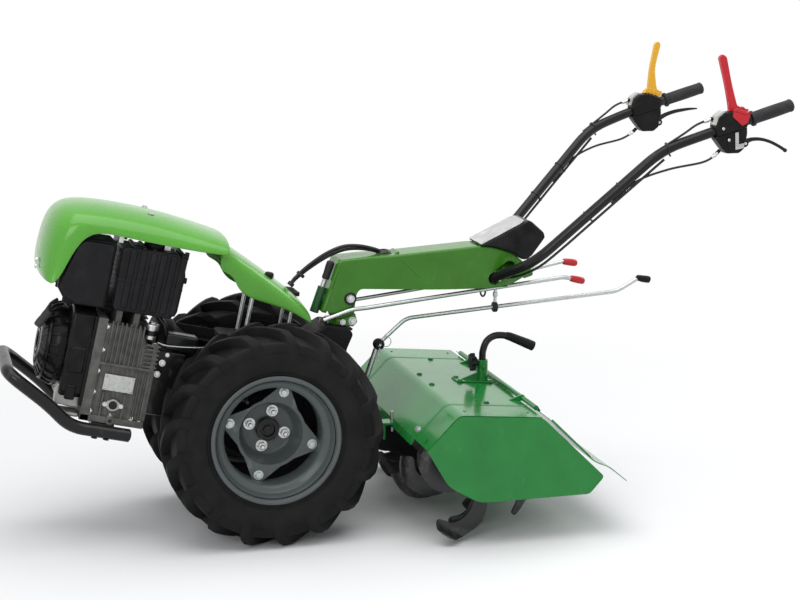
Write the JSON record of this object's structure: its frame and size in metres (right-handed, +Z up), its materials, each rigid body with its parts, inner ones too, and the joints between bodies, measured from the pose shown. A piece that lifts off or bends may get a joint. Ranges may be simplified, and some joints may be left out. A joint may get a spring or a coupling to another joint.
{
  "type": "walking tractor with rotary tiller",
  "caption": "Two-wheel walking tractor with an engine in front, a swinging and tilting handlebar, and a rotary tiller with a hinged flap behind.",
  "frame": {"origin": "middle of the machine's box, on the ground that the wheels and tines stand on", "axes": "+X to the machine's left, +Y to its rear and the operator, +Z up"},
  "size_m": [0.8, 2.0606, 1.238],
  "materials": {
    "column_green": "glossy mid-green enamel",
    "tiller_green": "emerald-green enamel",
    "rim_grey": "satin dark-grey enamel",
    "black_paint": "satin black enamel",
    "cast_iron": "rough cast iron, painted dark",
    "engine_aluminium": "grey sand-cast aluminium",
    "black_casting": "aluminium casting, painted black",
    "black_plastic": "matt moulded plastic",
    "bonnet_plastic": "glossy yellow-green moulded plastic",
    "rubber": "matt black rubber",
    "tyre": "black tyre rubber",
    "zinc": "bright zinc plate",
    "red_plastic": "glossy red plastic",
    "yellow_plastic": "glossy yellow plastic"
  },
  "bodies": {
    "tractor": {"transmission_case": "black_casting", "clutch_housing": "black_casting", "engine_block": "engine_aluminium", "cooling_cowl": "black_plastic", "recoil_starter": "black_plastic", "starter_handle": "black_plastic", "air_cleaner": "black_plastic", "fuel_tank": "black_plastic", "exhaust_silencer": "black_paint", "engine_bonnet": "bonnet_plastic", "rear_fairing": "bonnet_plastic", "front_bumper": "black_paint", "tiller_gearcase": "cast_iron", "tiller_hood": "tiller_green", "hood_extension_left": "tiller_green", "hood_extension_right": "tiller_green", "depth_sleeve": "tiller_green", "depth_knob": "black_plastic", "depth_bar": "black_paint"},
    "wheel_left": {"tyre_left": "tyre", "wheel_rim_left": "rim_grey", "wheel_hub_left": "black_paint"},
    "wheel_right": {"tyre_right": "tyre", "wheel_rim_right": "rim_grey", "wheel_hub_right": "black_paint"},
    "rotor": {"tine_rotor": "black_paint"},
    "flap": {"rear_flap": "tiller_green"},
    "swivel": {"swivel_bracket": "column_green"},
    "handlebar": {"handlebar_column": "column_green", "control_console": "black_plastic", "control_cables": "rubber", "swing_lock": "column_green", "handlebar_tube_left": "black_paint", "control_block_left": "black_plastic", "hand_grip_left": "rubber", "hand_lever_left": "black_paint", "switch_lever_left": "red_plastic", "lever_cable_left": "rubber", "switch_cable_left": "rubber", "handlebar_tube_right": "black_paint", "control_block_right": "black_plastic", "hand_grip_right": "rubber", "hand_lever_right": "black_paint", "switch_lever_right": "yellow_plastic", "lever_cable_right": "rubber", "switch_cable_right": "rubber", "gear_rod": "zinc", "power_take_off_rod": "zinc", "coupling_rod": "zinc", "rod_hanger": "zinc"}
  },
  "joints": [
    {"name": "wheel_left_spin", "type": "hinge", "parent": "tractor", "child": "wheel_left", "pos_m": [0, -0.36337, 0.28592], "axis": [1, 0, 0], "continuous": true},
    {"name": "wheel_right_spin", "type": "hinge", "parent": "tractor", "child": "wheel_right", "pos_m": [0, -0.36337, 0.28592], "axis": [1, 0, 0], "continuous": true},
    {"name": "tine_rotor_spin", "type": "hinge", "parent": "tractor", "child": "rotor", "pos_m": [0, 0.14463, 0.16359], "axis": [1, 0, 0], "continuous": true},
    {"name": "rear_flap_lift", "type": "hinge", "parent": "tractor", "child": "flap", "pos_m": [0, 0.30863, 0.34], "axis": [1, 0, 0], "range_deg": [0, 60]},
    {"name": "handlebar_swing", "type": "hinge", "parent": "tractor", "child": "swivel", "pos_m": [0, -0.14319, 0.52394], "axis": [0, 0.2284, 0.9736], "range_deg": [-20, 20]},
    {"name": "handlebar_height", "type": "hinge", "parent": "swivel", "child": "handlebar", "pos_m": [0, -0.11537, 0.597], "axis": [1, 0, 0], "range_deg": [-7, 0]}
  ]
}
